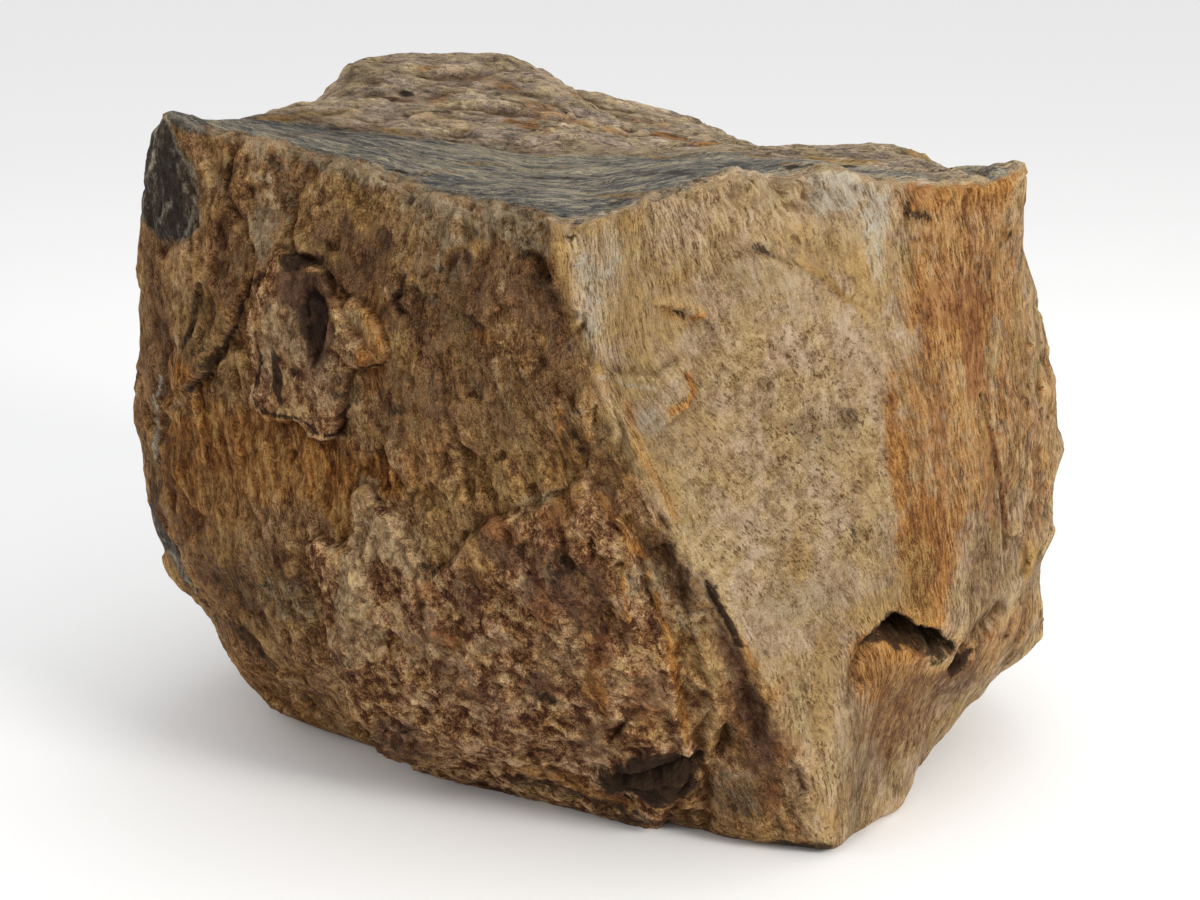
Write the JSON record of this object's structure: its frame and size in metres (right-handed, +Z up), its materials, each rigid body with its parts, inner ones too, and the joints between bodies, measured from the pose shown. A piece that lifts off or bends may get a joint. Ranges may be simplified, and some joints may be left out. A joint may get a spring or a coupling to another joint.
{
  "type": "boulder",
  "caption": "Weathered angular schist boulder with a flat bed, for landscaping, rockwork or as a ground prop.",
  "frame": {"origin": "on the flat bed, under the middle of the rock", "axes": "+Z up, -Y towards the front ridge and toe, +X to the right seen from the front"},
  "size_m": [1.0418, 0.9129, 0.7412],
  "materials": {
    "stone": "dull, rough, iron-stained mica schist"
  },
  "bodies": {
    "root": {"boulder": "stone"}
  },
  "joints": []
}
